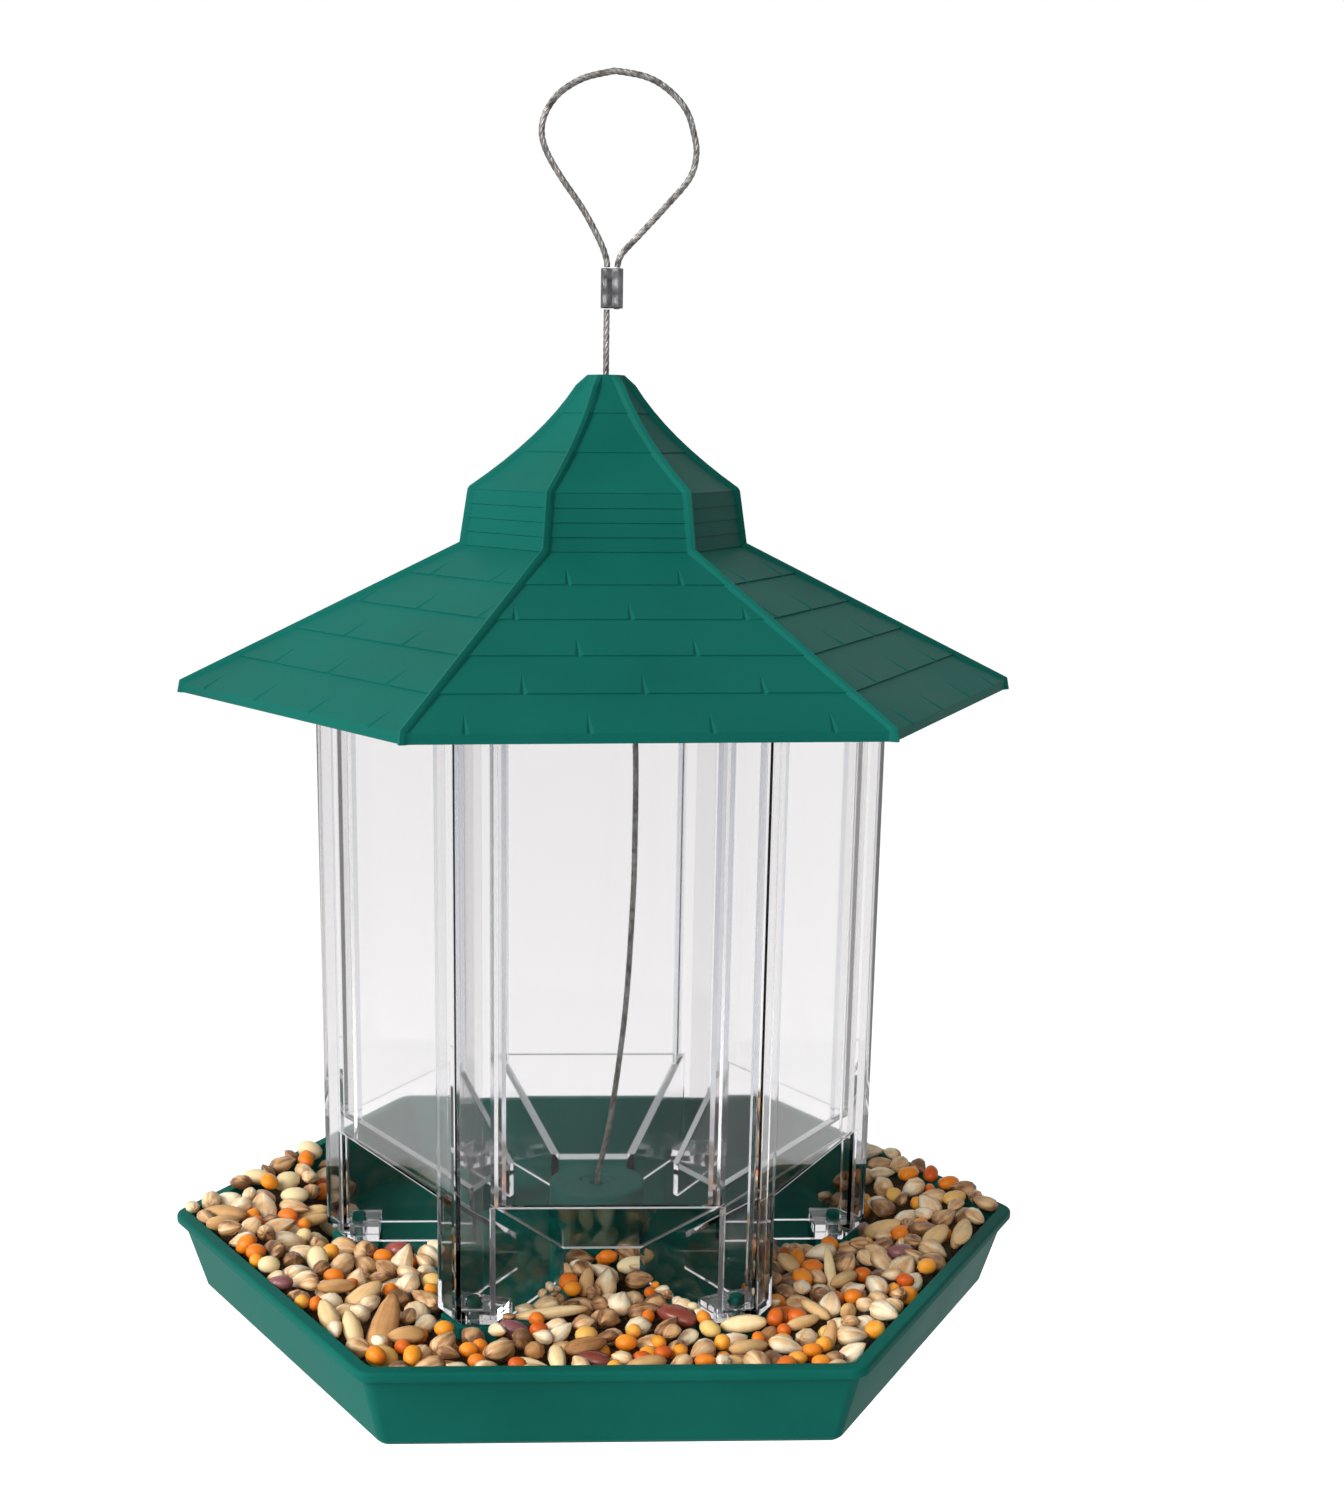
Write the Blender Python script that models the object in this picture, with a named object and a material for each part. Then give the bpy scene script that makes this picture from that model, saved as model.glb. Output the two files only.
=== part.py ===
"""Hexagonal hanging bird feeder: a green pagoda roof that lifts along a steel cable,
a hopper of six clear panels, and a green tray that hangs on the cable's stop.

Metres, +Z up. The origin is where the cable loop bears on its hook; the front face looks along -Y.
"""

import math

import bmesh
import bpy
from mathutils import Matrix, Vector

# General
SIDES = 6
seat_gap = 0.0003
cut_overrun = 0.002
weld_distance = 0.0000002
sharp_edge = math.radians(28)

# Cable, its loop and the fittings crimped on it
cable_diameter = 0.0015
cable_bow = 0.0085
cable_point_diameters = 3
loop_point_diameters = 2.2
loop_height = 0.0437
loop_width = 0.0362
sleeve_length = 0.0090
sleeve_wall = 0.0007
sleeve_bore_spacing = 0.0024
washer_diameter = 0.0120
washer_thickness = 0.0012
washer_bore = 0.0024
stop_diameter = 0.0046
stop_length = 0.0080

# Roof
roof_travel = 0.0150
roof_turn = math.radians(4.3)
roof_corner_radius = 0.1027
roof_slope_rise = 0.0334
eave_edge = 0.0020
roof_wall = 0.0020
slope_courses = 5
slope_course_step = 0.00035
cupola_base_radius = 0.0343
cupola_top_radius = 0.0322
cupola_wall_height = 0.0131
cupola_boards = 4
board_step = 0.00025
cap_rise = 0.0270
cap_courses = 3
cap_course_step = 0.00025
cap_flare_share = 0.45
cap_wall = 0.0024
inner_cap_shares = (0.75, 0.5, 0.3)
apex_radius = 0.0045
apex_thickness = 0.0030
ridge_half_width = 0.0015
ridge_height = 0.0011
ridge_place_shares = (-1, -0.6, 0, 0.6, 1)
cable_hole = 0.0040
skirt_clearance = 0.0028
skirt_wall = 0.0016
skirt_above_eave = 0.0058
shingle_width = 0.0256
shingle_groove = 0.0018
shingle_groove_depth = 0.00045
shingle_groove_share = 0.62

# Hopper of clear panels
hopper_corner_radius = 0.0710
hopper_height = 0.1560
panel_wall = 0.0020
panel_joint_gap = 0.0003
lap_length = 0.0065
lap_wall = 0.0012
post_rib_offset = 0.0070
post_rib_wall = 0.0016
post_rib_depth = 0.0030
port_height = 0.0300
funnel_edge_height = 0.0095
funnel_apothem = 0.0325
baffle_wall = 0.0016
baffle_root = 0.0010
fin_wall = 0.0019
fin_setback = 0.0004
fin_proud = 0.0003
foot_depth = 0.0140
foot_joint_gap = 0.0004
foot_floor = 0.0036
foot_chamfer = 0.0022

# Tray
tray_corner_radius = 0.1108
tray_base_radius = 0.1035
tray_height = 0.0215
tray_wall = 0.0022
tray_floor = 0.0024
tray_corner_round = 0.0055
tray_base_round = 0.0030
tray_inner_fillet = 0.0030
lip_height = 0.0026
lip_thickness = 0.0012
lip_round = 0.0008
seat_height = 0.0133
seat_inset = 0.0012
seat_wall = 0.0018
peg_diameter = 0.0040
peg_height = 0.0055
peg_inset = 0.0085
peg_taper_share = 0.85
peg_clearance = 0.0003
hub_height = 0.0278
hub_top_diameter = 0.0250
hub_base_diameter = 0.0272
hub_edge_round = 0.0010
hub_top_wall = 0.0024
hub_wall = 0.0022
hub_counterbore = 0.0090
hub_counterbore_depth = 0.0007

# Levels, worked down from the hanging point
half_angle = math.pi / SIDES
flat_share = math.cos(half_angle)
cable_radius = cable_diameter / 2
z_sleeve_top = cable_radius - loop_height
z_sleeve_bottom = z_sleeve_top - sleeve_length
z_apex = z_sleeve_bottom - roof_travel - seat_gap
z_cap_base = z_apex - cap_rise
z_cupola_base = z_cap_base - cupola_wall_height
z_eave_top = z_cupola_base - roof_slope_rise
z_eave = z_eave_top - eave_edge


def slope_z(corner_radius):
    """Height of the main slope's plain surface where its hexagon has this corner radius."""
    share = (roof_corner_radius - corner_radius) / (roof_corner_radius - cupola_base_radius)
    return z_eave_top + share * roof_slope_rise


slope_angle = math.atan2(roof_slope_rise, (roof_corner_radius - cupola_base_radius) * flat_share)
slope_wall_drop = roof_wall / math.cos(slope_angle)
hopper_apothem = hopper_corner_radius * flat_share
hopper_contact_radius = hopper_corner_radius * math.cos(half_angle - roof_turn) / flat_share
z_hopper_top = slope_z(hopper_contact_radius) - slope_wall_drop - seat_gap
z_foot = z_hopper_top - hopper_height
z_seat = z_foot - seat_gap
z_floor = z_seat - seat_height
z_base = z_floor - tray_floor
z_rim = z_base + tray_height
z_hub = z_floor + hub_height
z_washer = z_hub - hub_top_wall - seat_gap
z_stop = z_washer - washer_thickness - seat_gap

# The loop, as shares of its width from the cable's axis and of its height below the top
loop_route_shares = [
    (0.000, 1.000), (-0.006, 0.950), (-0.046, 0.864), (-0.157, 0.702), (-0.309, 0.529),
    (-0.400, 0.403), (-0.430, 0.302), (-0.400, 0.203), (-0.312, 0.110), (-0.166, 0.038),
    (0.000, 0.004), (0.060, 0.000), (0.229, 0.023), (0.348, 0.068), (0.453, 0.140), (0.514, 0.212),
    (0.549, 0.300), (0.570, 0.405), (0.530, 0.530), (0.380, 0.675), (0.215, 0.820),
    (0.095, 0.925), (0.066, 1.000),
]
# The slack cable inside, as shares of its height from hub to apex and of its bow
bow_route_shares = [
    (0.000, 0.00), (0.015, 0.03), (0.042, 0.19), (0.107, 0.46), (0.229, 0.79), (0.360, 0.96),
    (0.440, 1.00), (0.560, 0.98), (0.700, 0.78), (0.840, 0.41), (0.940, 0.08), (0.985, 0.00),
    (1.000, 0.00),
]


def clear_scene():
    for thing in list(bpy.data.objects):
        bpy.data.objects.remove(thing, do_unlink=True)


def material(name, colour, roughness, metallic=0.0, transmission=0.0):
    made = bpy.data.materials.new(name)
    made.use_nodes = True
    shader = made.node_tree.nodes["Principled BSDF"]
    shader.inputs["Base Color"].default_value = (*colour, 1.0)
    shader.inputs["Roughness"].default_value = roughness
    shader.inputs["Metallic"].default_value = metallic
    shader.inputs["Transmission Weight"].default_value = transmission
    made.diffuse_color = (*colour, 1.0)
    return made


def new_object(name, mesh, finish=None):
    made = bpy.data.objects.new(name, mesh)
    bpy.context.scene.collection.objects.link(made)
    if finish is not None:
        mesh.materials.clear()
        mesh.materials.append(finish)
    return made


def mesh_from(bm, name):
    """Turns a bmesh into a mesh whose faces point out, smooth but for its real edges."""
    bmesh.ops.remove_doubles(bm, verts=bm.verts, dist=weld_distance)
    bmesh.ops.recalc_face_normals(bm, faces=bm.faces)
    mesh = bpy.data.meshes.new(name)
    bm.to_mesh(mesh)
    bm.free()
    mesh.shade_smooth()
    mesh.set_sharp_from_angle(angle=sharp_edge)
    return mesh


def polygon_prism(bm, outline, lower, upper):
    """A closed prism over a plan outline, between two heights."""
    bridged_solid(bm, [(x, y, lower) for x, y in outline], [(x, y, upper) for x, y in outline])


def bridged_solid(bm, first, second):
    """A closed solid between two outlines of equal count."""
    rows = [[bm.verts.new(point) for point in outline] for outline in (first, second)]
    bm.faces.new(rows[0][::-1])
    bm.faces.new(rows[1])
    for i in range(len(first)):
        j = (i + 1) % len(first)
        bm.faces.new((rows[0][i], rows[0][j], rows[1][j], rows[1][i]))


def closed_loft(bm, rings):
    """Joins rings of equal count one to the next, and the last back to the first."""
    rows = [[bm.verts.new(point) for point in ring] for ring in rings]
    for row, after in zip(rows, rows[1:] + rows[:1]):
        for i in range(len(row)):
            j = (i + 1) % len(row)
            bm.faces.new((row[i], row[j], after[j], after[i]))


def helper(name, bm):
    """A solid that only cuts or joins, kept out of the model."""
    made = new_object(name, mesh_from(bm, name))
    made.hide_render = True
    made.display_type = "WIRE"
    return made


def join(target, tool, operation):
    change = target.modifiers.new(tool.name, "BOOLEAN")
    change.operation = operation
    change.object = tool
    change.solver = "EXACT"


def baked(target, name):
    """The mesh that the object's modifiers make; the object and its tools then go."""
    graph = bpy.context.evaluated_depsgraph_get()
    mesh = bpy.data.meshes.new_from_object(target.evaluated_get(graph))
    mesh.name = name
    tools = [change.object for change in target.modifiers]
    for thing in [target, *tools]:
        bpy.data.objects.remove(thing, do_unlink=True)
    mesh.shade_smooth()
    mesh.set_sharp_from_angle(angle=sharp_edge)
    return mesh


# Roof


def cap_point(share):
    """A point of the cap's concave hip, from apex at 0 to its foot at 1: corner radius and height."""
    flare = (1 - cap_flare_share) * share + cap_flare_share * share * share
    radius = apex_radius + (cupola_top_radius - apex_radius) * flare
    return Vector((radius, z_apex - cap_rise * share))


def wall_point(share):
    top = Vector((cupola_top_radius, z_cap_base))
    return top.lerp(Vector((cupola_base_radius, z_cupola_base)), share)


def slope_point(share):
    top = Vector((cupola_base_radius, z_cupola_base))
    return top.lerp(Vector((roof_corner_radius, z_eave_top)), share)


def outward(line, share):
    """The unit normal of a hip line, pointing out and up."""
    small = 0.01
    along = line(min(share + small, 1)) - line(max(share - small, 0))
    return Vector((-along.y, along.x)).normalized()


def stepped_stations(line, courses, pieces, step):
    """Face point and hip point with its normal, down a line of lapped courses.

    Each course lies on the plain line at its top and stands proud of it by the step at its foot.
    """
    stations = []
    for course in range(courses):
        for piece in range(pieces + 1):
            share = (course + piece / pieces) / courses
            normal = outward(line, share)
            on_line = line(share)
            stations.append((on_line + normal * step * piece / pieces, on_line, normal))
    return stations


def ring_places():
    """For each point of a roof ring: the way out to its corner, the way along its side, and its
    distance from the corner as a share of the ridge's half width."""
    for corner in range(SIDES):
        angle = corner * 2 * half_angle
        out = Vector((math.cos(angle), math.sin(angle)))
        for place in ridge_place_shares:
            turn = angle + math.copysign(math.pi / 2 + half_angle, place)
            yield out, Vector((math.cos(turn), math.sin(turn))), abs(place)


def roof_ring(face, hip, normal):
    """One ring of the roof: six straight sides, with a raised ridge over each corner."""
    points = []
    for out, side, place in ring_places():
        rise = ridge_height * math.sqrt(1 - place * place)
        level = face if place == 1 else hip + normal * rise
        at = out * level.x + side * ridge_half_width * place
        points.append((at.x, at.y, level.y))
    return points


def plain_ring(radius, height):
    """A ring with the same points as a roof ring and no ridge."""
    points = []
    for out, side, place in ring_places():
        at = out * radius + side * ridge_half_width * place
        points.append((at.x, at.y, height))
    return points


def round_ring(radius, height):
    """A circle with the same number of points as a roof ring."""
    per_corner = len(ridge_place_shares)
    turns = [2 * math.pi * (i - per_corner // 2) / (SIDES * per_corner)
             for i in range(SIDES * per_corner)]
    return [(radius * math.cos(turn), radius * math.sin(turn), height) for turn in turns]


def roof_outer_rings():
    stations = stepped_stations(cap_point, cap_courses, 3, cap_course_step)
    stations += stepped_stations(wall_point, cupola_boards, 1, board_step)
    stations += stepped_stations(slope_point, slope_courses, 1, slope_course_step)
    rings = [round_ring(cable_hole / 2, z_apex), plain_ring(apex_radius, z_apex)]
    # The ridges start just below the flat top.
    rings += [roof_ring(*station) for station in stations[1:]]
    corner = Vector((roof_corner_radius, z_eave))
    rings.append(roof_ring(corner, corner, Vector((1, 0))))
    return rings


def roof_inner_rings():
    """The underside, from the eaves in: locating skirt, slope, cupola and the cable's hole."""
    skirt_inner = (hopper_apothem + skirt_clearance) / flat_share
    skirt_outer = skirt_inner + skirt_wall / flat_share
    eave_inner = roof_corner_radius - roof_wall / flat_share
    wall_inner = cupola_base_radius - cap_wall
    z_skirt = z_eave + skirt_above_eave
    profile = [
        (eave_inner, z_eave),
        (eave_inner, slope_z(eave_inner) - slope_wall_drop / 2),
        (skirt_outer, slope_z(skirt_outer) - slope_wall_drop),
        (skirt_outer, z_skirt),
        (skirt_inner, z_skirt),
        (skirt_inner, slope_z(skirt_inner) - slope_wall_drop),
        (wall_inner, slope_z(wall_inner) - slope_wall_drop),
        (cupola_top_radius - cap_wall, z_cap_base - cap_wall / 2),
    ]
    top_share = apex_thickness / cap_rise
    for share in (*inner_cap_shares, top_share):
        at = cap_point(share)
        profile.append((at.x - cap_wall, at.y))
    rings = [plain_ring(radius, height) for radius, height in profile]
    rings.append(round_ring(cable_hole / 2, z_apex - apex_thickness))
    return rings


def groove_start(course, place):
    """Share of the course where a joint fades out: further down where it would meet a ridge."""
    clear_radius = (abs(place) + ridge_half_width + shingle_groove / 4) / math.sin(half_angle)
    slope_share = (clear_radius - cupola_base_radius) / (roof_corner_radius - cupola_base_radius)
    return max(1 - shingle_groove_share, slope_share * slope_courses - course)


def groove_places(course):
    """Distances of the joints from the middle of a face, in running bond."""
    place = shingle_width / 2 if (slope_courses - course) % 2 else 0
    places = set()
    while groove_start(course, place) < shingle_groove_share:
        places |= {-place, place}
        place += shingle_width
    return sorted(places)


def groove_sheets(course, place):
    """The V of a shingle joint at its two ends: a sliver that clears the face, and its full depth
    at the course's foot."""
    normal = outward(slope_point, 0.5)
    sliver = shingle_groove_depth / 8
    sheets = []
    for share, depth, rise, over in (
        (groove_start(course, place), -sliver, sliver, 0),
        (1, shingle_groove_depth, 2 * shingle_groove_depth, cut_overrun / 4),
    ):
        on_line = slope_point((course + share) / slope_courses)
        along = Vector((normal.y, -normal.x)) * over
        bottom = on_line + along + normal * (slope_course_step * share - depth)
        top = bottom + normal * rise
        half = shingle_groove / 2 * rise / shingle_groove_depth
        section = ((top, place - half), (bottom, place), (top, place + half))
        sheets.append([Vector((at.x * flat_share, across, at.y)) for at, across in section])
    return sheets


def shingle_joint_cutter():
    """V-shaped grooves between the shingles of all six faces."""
    bm = bmesh.new()
    for face in range(SIDES):
        to_face = Matrix.Rotation((face + 0.5) * 2 * half_angle, 4, "Z")
        for course in range(slope_courses):
            for place in groove_places(course):
                sheets = [[to_face @ point for point in sheet]
                          for sheet in groove_sheets(course, place)]
                bridged_solid(bm, *sheets)
    cutter = helper("shingle_joints", bm)
    cutter.rotation_euler.z = roof_turn
    return cutter


def build_roof(finish):
    bm = bmesh.new()
    closed_loft(bm, roof_outer_rings() + roof_inner_rings())
    roof = new_object("roof", mesh_from(bm, "roof"), finish)
    join(roof, shingle_joint_cutter(), "DIFFERENCE")
    roof.rotation_euler.z = roof_turn
    return roof


# Hopper panels. A panel is drawn as the front one: x across, y inwards from its outer face.


def panel_edge(depth):
    """Half the panel's width at this depth, short of the corner by half the joint."""
    corner = (hopper_apothem - depth) * math.tan(half_angle)
    return corner - panel_joint_gap / 2 / flat_share


def corner_frame(side):
    """The panel's corner and the direction from it to the feeder's axis, in panel coordinates."""
    corner = Vector((side * hopper_apothem * math.tan(half_angle), 0))
    inwards = Vector((-side * math.sin(half_angle), math.cos(half_angle)))
    across = Vector((-side * math.cos(half_angle), -math.sin(half_angle)))
    return corner, inwards, across


def depth_point(side, offset, depth):
    """Where the line at this distance from the corner's radius reaches a depth."""
    corner, inwards, across = corner_frame(side)
    start = corner + across * offset
    return start + inwards * ((depth - start.y) / inwards.y)


def plate_outline():
    near, far = panel_edge(0), panel_edge(panel_wall)
    return [(-near, 0), (near, 0), (far, panel_wall), (-far, panel_wall)]


def lap_outline():
    """Plan of the lap that backs the next panel's edge, rooted in this panel's plate."""
    corner, _, _ = corner_frame(1)
    along = Vector((math.cos(2 * half_angle), math.sin(2 * half_angle)))
    inwards = Vector((-along.y, along.x))
    outer = corner + inwards * (panel_wall + panel_joint_gap)
    inner = outer + inwards * lap_wall
    root = panel_wall / 2
    rooted = [start + along * ((root - start.y) / along.y) for start in (outer, inner)]
    ends = [inner + along * lap_length, outer + along * lap_length]
    return [tuple(point) for point in (rooted[0], rooted[1], *ends)]


def rib_outline(side):
    """Plan of one of the low ribs that stiffen the posts over their whole height."""
    near, far = post_rib_offset - post_rib_wall / 2, post_rib_offset + post_rib_wall / 2
    root, tip = panel_wall / 2, panel_wall + post_rib_depth
    places = ((near, root), (near, tip), (far, tip), (far, root))
    return [tuple(depth_point(side, offset, depth)) for offset, depth in places]


def port_outline():
    """Plan of the port; its sides end inside the fins."""
    low, high = -cut_overrun, panel_wall + cut_overrun
    places = ((-1, high), (-1, low), (1, low), (1, high))
    return [tuple(depth_point(side, post_rib_offset, depth)) for side, depth in places]


def funnel_height(depth):
    """Height of the baffle's upper face at a depth behind the panel's outer face."""
    throat = hopper_apothem - funnel_apothem
    root = panel_wall / 2
    share = (depth - root) / (throat - root)
    top = z_foot + port_height + baffle_root
    return top + (z_foot + funnel_edge_height - top) * share


def add_fin(bm, side):
    """The fin that carries a post rib on inwards, from foot to funnel."""
    throat = hopper_apothem - funnel_apothem
    corners = ((fin_setback, z_foot), (throat + fin_proud, z_foot))
    corners += tuple((depth, funnel_height(depth) + fin_proud)
                     for depth in (throat + fin_proud, fin_setback))
    sheets = []
    for offset in (post_rib_offset - fin_wall / 2, post_rib_offset + fin_wall / 2):
        plan = [(depth_point(side, offset, depth), height) for depth, height in corners]
        sheets.append([(at.x, at.y, height) for at, height in plan])
    bridged_solid(bm, *sheets)


def add_baffle(bm):
    """The sloping plate from the panel's lower edge to the funnel's throat, between the fins."""
    places = ((-1, panel_wall / 2), (1, panel_wall / 2))
    throat = hopper_apothem - funnel_apothem
    places += ((1, throat), (-1, throat))
    sheets = []
    for drop in (baffle_wall, 0):
        plan = [(depth_point(side, post_rib_offset, depth), depth) for side, depth in places]
        sheets.append([(at.x, at.y, funnel_height(depth) - drop) for at, depth in plan])
    bridged_solid(bm, *sheets)


def foot_outline(side):
    """Plan of this panel's half of a foot's floor, from its fin to the joint at the corner."""
    corner, inwards, across = corner_frame(side)
    root = panel_wall / 2
    outline = []
    for offset in (foot_joint_gap / 2, post_rib_offset):
        line = corner + across * offset
        reach = [line + inwards * ((root - line.y) / inwards.y), line + inwards * foot_depth]
        outline += reach if not outline else reach[::-1]
    return [tuple(point) for point in outline]


def add_chamfer(bm):
    """Wedge along the panel's outer lower edge."""
    near, far = -cut_overrun, foot_chamfer + cut_overrun
    section = ((near, near), (far, near), (near, far))
    reach = hopper_corner_radius
    sheets = [[(x, y, z_foot + z) for y, z in section] for x in (-reach, reach)]
    bridged_solid(bm, *sheets)


def add_peg_notches(bm):
    for side in (-1, 1):
        corner, inwards, _ = corner_frame(side)
        at = corner + inwards * peg_inset
        radius = peg_diameter / 2 + peg_clearance
        bmesh.ops.create_cone(
            bm, cap_ends=True, segments=20, radius1=radius, radius2=radius,
            depth=2 * (foot_floor + cut_overrun), matrix=Matrix.Translation((at.x, at.y, z_foot)),
        )


def made_by(name, draw, *details):
    """A helper solid drawn by one of the functions above."""
    bm = bmesh.new()
    draw(bm, *details)
    return helper(name, bm)


def build_panel_mesh():
    plate = bmesh.new()
    polygon_prism(plate, plate_outline(), z_foot, z_hopper_top)
    panel = new_object("panel_blank", mesh_from(plate, "panel_blank"))
    above_port = z_foot + port_height
    above_floor = z_foot + foot_floor
    port = (port_outline(), z_foot - cut_overrun, above_port)
    lap = (lap_outline(), above_floor + panel_joint_gap, z_hopper_top)
    join(panel, made_by("port", polygon_prism, *port), "DIFFERENCE")
    join(panel, made_by("lap", polygon_prism, *lap), "UNION")
    for side in (-1, 1):
        # The rib's foot is buried in the fin.
        rib = (rib_outline(side), above_port - 2 * post_rib_depth, z_hopper_top)
        join(panel, made_by("rib", polygon_prism, *rib), "UNION")
        join(panel, made_by("fin", add_fin, side), "UNION")
        floor = (foot_outline(side), z_foot, above_floor)
        join(panel, made_by("foot_floor", polygon_prism, *floor), "UNION")
    join(panel, made_by("baffle", add_baffle), "UNION")
    join(panel, made_by("foot_edge", add_chamfer), "DIFFERENCE")
    join(panel, made_by("peg_notches", add_peg_notches), "DIFFERENCE")
    mesh = baked(panel, "clear_panel")
    # The panel was drawn with y inwards from its outer face; the front panel faces -Y.
    mesh.transform(Matrix.Translation((0, -hopper_apothem, 0)))
    return mesh


def build_panels(finish):
    mesh = build_panel_mesh()
    mesh.materials.clear()
    mesh.materials.append(finish)
    for number in range(SIDES):
        panel = new_object(f"clear_panel_{number + 1}", mesh)
        panel.rotation_euler.z = number * 2 * half_angle


# Tray


def rounded_ring(apothem, corner_round, height):
    """A hexagon with rounded corners, seven points to a corner."""
    points = []
    arc_pieces = 6
    centre_radius = (apothem - corner_round) / flat_share
    for corner in range(SIDES):
        angle = corner * 2 * half_angle
        for piece in range(arc_pieces + 1):
            turn = angle + half_angle * (2 * piece / arc_pieces - 1)
            x = centre_radius * math.cos(angle) + corner_round * math.cos(turn)
            y = centre_radius * math.sin(angle) + corner_round * math.sin(turn)
            points.append((x, y, height))
    return points


def hub_ring(radius, height):
    """A circle with the tray ring's number of points, in line with its corners."""
    points = []
    arc_pieces = 6
    for corner in range(SIDES):
        for piece in range(arc_pieces + 1):
            share = (piece / arc_pieces - 0.5) * arc_pieces / (arc_pieces + 1)
            turn = 2 * half_angle * (corner + share)
            points.append((radius * math.cos(turn), radius * math.sin(turn), height))
    return points


def quarter_arc(centre, radius, start, pieces):
    """Points of a quarter circle in the profile's plane."""
    turns = [start + math.pi / 2 * i / pieces for i in range(pieces + 1)]
    return [(centre[0] + radius * math.cos(t), centre[1] + radius * math.sin(t)) for t in turns]


def tray_wall_profile():
    """The wall from the floor's edge up inside, over the lip, and down to the base."""
    rim = tray_corner_radius * flat_share
    base = tray_base_radius * flat_share
    wall_out = rim - lip_thickness
    wall_in = wall_out - tray_wall
    base_in = base - tray_wall
    fillet = tray_inner_fillet
    profile = [
        (x, z) for x, z in quarter_arc((base_in - fillet, z_floor + fillet), fillet, -math.pi / 2, 3)
    ]
    profile.append((wall_in, z_rim))
    lip_top = quarter_arc((rim - lip_round, z_rim - lip_round), lip_round, 0, 3)
    profile += lip_top[::-1]
    under_lip = wall_out + (base - wall_out) * lip_height / tray_height
    profile += [(rim, z_rim - lip_height + lip_round / 2), (rim - lip_round / 2, z_rim - lip_height)]
    profile.append((under_lip, z_rim - lip_height))
    low = quarter_arc((base - tray_base_round, z_base + tray_base_round), tray_base_round,
                      -math.pi / 2, 3)
    profile += low[::-1]
    return profile


def hub_profile():
    """From the foot of the stop's recess up inside the hub, out at its top and down to the floor."""
    top, foot = hub_top_diameter / 2, hub_base_diameter / 2
    inner_top, inner_foot = top - hub_wall, foot - hub_wall
    hole, bore = cable_hole / 2, hub_counterbore / 2
    z_under = z_hub - hub_top_wall
    profile = [(inner_foot, z_base), (inner_top, z_under), (hole, z_under)]
    profile += [(hole, z_hub - hub_counterbore_depth), (bore, z_hub - hub_counterbore_depth)]
    profile.append((bore, z_hub))
    centre = (top - hub_edge_round, z_hub - hub_edge_round)
    profile += quarter_arc(centre, hub_edge_round, 0, 3)[::-1]
    profile.append((foot, z_floor))
    return profile


def tray_rings():
    rings = [hub_ring(radius, height) for radius, height in hub_profile()]
    rim = tray_corner_radius * flat_share
    for apothem, height in tray_wall_profile():
        corner_round = max(tray_corner_round - (rim - apothem), tray_corner_round / 2)
        rings.append(rounded_ring(apothem, corner_round, height))
    return rings


def seat_outline(corner, inset):
    """Plan of the raised seat under one foot, set in from the foot's own outline."""
    angle = corner * 2 * half_angle
    out = Vector((math.cos(angle), math.sin(angle)))
    side = Vector((-out.y, out.x))
    tip = hopper_corner_radius - inset / flat_share
    half = post_rib_offset + post_rib_wall / 2 - (inset - seat_inset)
    shoulder = tip - half * math.tan(half_angle)
    inner = hopper_corner_radius - foot_depth + (inset - seat_inset)
    plan = ((tip, 0), (shoulder, half), (inner, half), (inner, -half), (shoulder, -half))
    return [tuple(out * reach + side * across) for reach, across in plan]


def build_tray(finish):
    bm = bmesh.new()
    closed_loft(bm, tray_rings())
    tray = new_object("tray", mesh_from(bm, "tray"), finish)

    bm = bmesh.new()
    for corner in range(SIDES):
        polygon_prism(bm, seat_outline(corner, seat_inset), z_floor - tray_floor / 2, z_seat)
    join(tray, helper("foot_seats", bm), "UNION")

    bm = bmesh.new()
    for corner in range(SIDES):
        outline = seat_outline(corner, seat_inset + seat_wall)
        polygon_prism(bm, outline, z_base - cut_overrun, z_seat - seat_wall)
    join(tray, helper("seat_cores", bm), "DIFFERENCE")

    bm = bmesh.new()
    for corner in range(SIDES):
        angle = corner * 2 * half_angle
        reach = hopper_corner_radius - peg_inset
        sunk = seat_wall / 2
        middle = z_seat + (peg_height - sunk) / 2
        place = Matrix.Translation((reach * math.cos(angle), reach * math.sin(angle), middle))
        bmesh.ops.create_cone(
            bm, cap_ends=True, segments=20, radius1=peg_diameter / 2,
            radius2=peg_diameter / 2 * peg_taper_share, depth=peg_height + sunk, matrix=place,
        )
    join(tray, helper("foot_pegs", bm), "UNION")
    return tray


# Cable and fittings


def smooth_route(points, spacing):
    """Points at about this spacing on a smooth curve through the route's own points."""
    dense = []
    last = len(points) - 1
    for i in range(last):
        before, here = points[max(i - 1, 0)], points[i]
        ahead, beyond = points[i + 1], points[min(i + 2, last)]
        for piece in range(20):
            t = piece / 20
            dense.append(0.5 * (2 * here + (ahead - before) * t
                                + (2 * before - 5 * here + 4 * ahead - beyond) * t * t
                                + (3 * here - before - 3 * ahead + beyond) * t * t * t))
    dense.append(points[last])
    lengths = [0.0]
    for a, b in zip(dense, dense[1:]):
        lengths.append(lengths[-1] + (b - a).length)
    count = max(2, round(lengths[-1] / spacing))
    even, k = [], 0
    for step in range(count + 1):
        want = lengths[-1] * step / count
        while k < len(dense) - 2 and lengths[k + 1] < want:
            k += 1
        span = lengths[k + 1] - lengths[k]
        even.append(dense[k].lerp(dense[k + 1], (want - lengths[k]) / span))
    return even


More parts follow.
